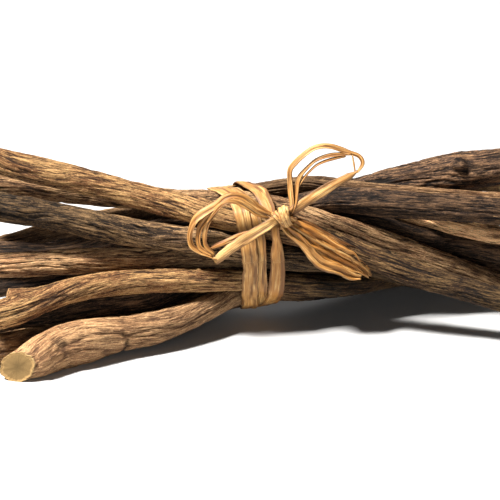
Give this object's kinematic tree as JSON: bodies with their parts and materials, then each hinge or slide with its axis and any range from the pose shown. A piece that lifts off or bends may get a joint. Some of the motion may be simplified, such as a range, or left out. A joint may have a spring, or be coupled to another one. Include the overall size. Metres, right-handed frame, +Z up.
{
  "type": "tied bundle of dried licorice roots",
  "caption": "Bundle of dried licorice roots with wrinkled bark and flat cut ends, tied round the waist with a raffia bow.",
  "frame": {"origin": "middle of the bundle's footprint, on the surface it lies on", "axes": "+X along the roots, +Y away from the bow, +Z up"},
  "size_m": [0.2188, 0.1132, 0.0736],
  "materials": {
    "bark_golden": "dry golden tan bark, wrinkled lengthwise",
    "bark_tan": "dry tan bark, wrinkled lengthwise",
    "bark_brown": "dry brown bark, wrinkled lengthwise",
    "bark_grey": "dry grey-brown bark, wrinkled lengthwise",
    "bark_dark": "dry dark brown bark, wrinkled lengthwise",
    "raffia": "straw-coloured palm fibre strips with lengthwise folds"
  },
  "bodies": {
    "root": {"root_top_front": "bark_golden", "root_upper_grey": "bark_grey", "root_middle_tan": "bark_tan", "root_bent_tan": "bark_golden", "root_thick_front": "bark_brown", "root_second_top": "bark_tan", "root_big_top": "bark_dark", "root_top_strip": "bark_brown", "root_dark_upper": "bark_dark", "root_bulged": "bark_tan", "root_dark_middle": "bark_dark", "root_dark_lower": "bark_dark", "root_low_brown": "bark_brown", "root_back_low": "bark_brown", "root_back_middle": "bark_tan", "root_heart": "bark_dark", "root_back_upper": "bark_grey", "raffia_tie": "raffia"}
  },
  "joints": []
}
